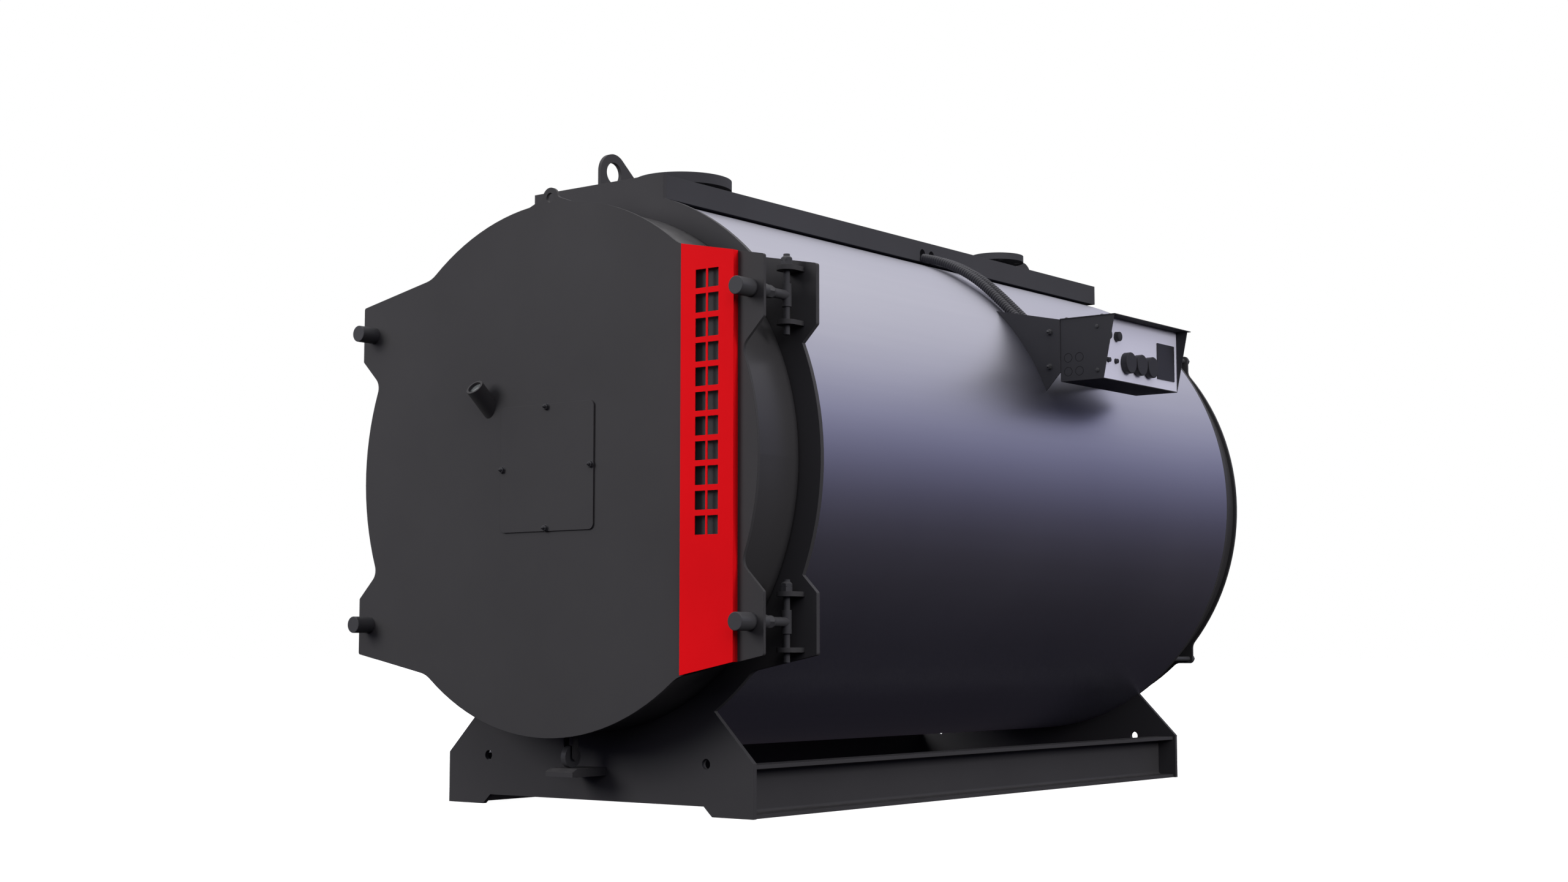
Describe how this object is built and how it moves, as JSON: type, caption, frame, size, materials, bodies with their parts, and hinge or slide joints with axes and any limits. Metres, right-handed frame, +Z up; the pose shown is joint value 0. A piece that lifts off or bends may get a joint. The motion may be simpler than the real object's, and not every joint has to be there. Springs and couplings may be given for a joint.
{
  "type": "industrial boiler",
  "caption": "Horizontal cylindrical fire-tube boiler on a low stand, with a hinged front door, burner blanking plate, side control box and top nozzles.",
  "frame": {"origin": "on the floor under the boiler's axis, half way along the stand", "axes": "+Z up, +Y from the front door to the back, +X to the side with the control box"},
  "size_m": [1.5058, 2.5541, 1.5935],
  "materials": {
    "dark_paint": "dark grey powder coat",
    "jacket_metal": "satin rolled sheet",
    "red_paint": "red powder coat",
    "plain_steel": "mill finish, dusty",
    "refractory": "cast refractory, rough",
    "wool": "mineral wool",
    "panel_metal": "light satin panel",
    "black_plastic": "matt black",
    "screen": "dark screen",
    "sight_glass": "clear",
    "steel_dark": "dark coated fittings"
  },
  "bodies": {
    "boiler": {"front_plate": "dark_paint", "rear_plate": "dark_paint", "stand_rail_right": "dark_paint", "stand_rail_left": "dark_paint", "pressure_shell": "plain_steel", "tube_plate": "plain_steel", "rear_tube_plate": "plain_steel", "furnace_tube": "plain_steel", "fire_tubes": "plain_steel", "insulation": "wool", "jacket": "jacket_metal", "rear_drum": "dark_paint", "rear_lining": "refractory", "rear_cover": "dark_paint", "rear_studs": "steel_dark", "flue_spigot": "dark_paint", "top_box": "dark_paint", "front_nozzle": "dark_paint", "rear_nozzle": "dark_paint", "front_lifting_eye": "dark_paint", "rear_lifting_eye": "dark_paint", "hinge_lugs": "dark_paint", "hinge_pins": "steel_dark", "eyebolts_left": "steel_dark", "roller_shelf": "dark_paint", "panel_bracket": "dark_paint", "control_box": "dark_paint", "control_panel": "panel_metal", "panel_gauges": "black_plastic", "panel_display": "screen", "panel_knobs": "black_plastic", "conduit_front": "black_plastic", "conduit_rear": "black_plastic"},
    "door": {"door_plate": "dark_paint", "door_drum": "dark_paint", "door_lining": "refractory", "door_rope": "wool", "cover_strip": "red_paint", "burner_plate": "dark_paint", "sight_tube": "dark_paint", "sight_glass": "sight_glass", "cap_nuts_left": "steel_dark", "cap_nuts_right": "steel_dark", "eyebolts_right": "steel_dark", "roller_fork": "dark_paint"},
    "roller": {"door_roller": "steel_dark"}
  },
  "joints": [
    {"name": "door_hinge", "type": "hinge", "parent": "boiler", "child": "door", "pos_m": [0.61008, -1.051, 0.806], "axis": [0, 0, 1], "range_deg": [0, 100]},
    {"name": "roller_spin", "type": "hinge", "parent": "door", "child": "roller", "pos_m": [0, -1.092, 0.129], "axis": [1, 0, 0], "continuous": true}
  ]
}
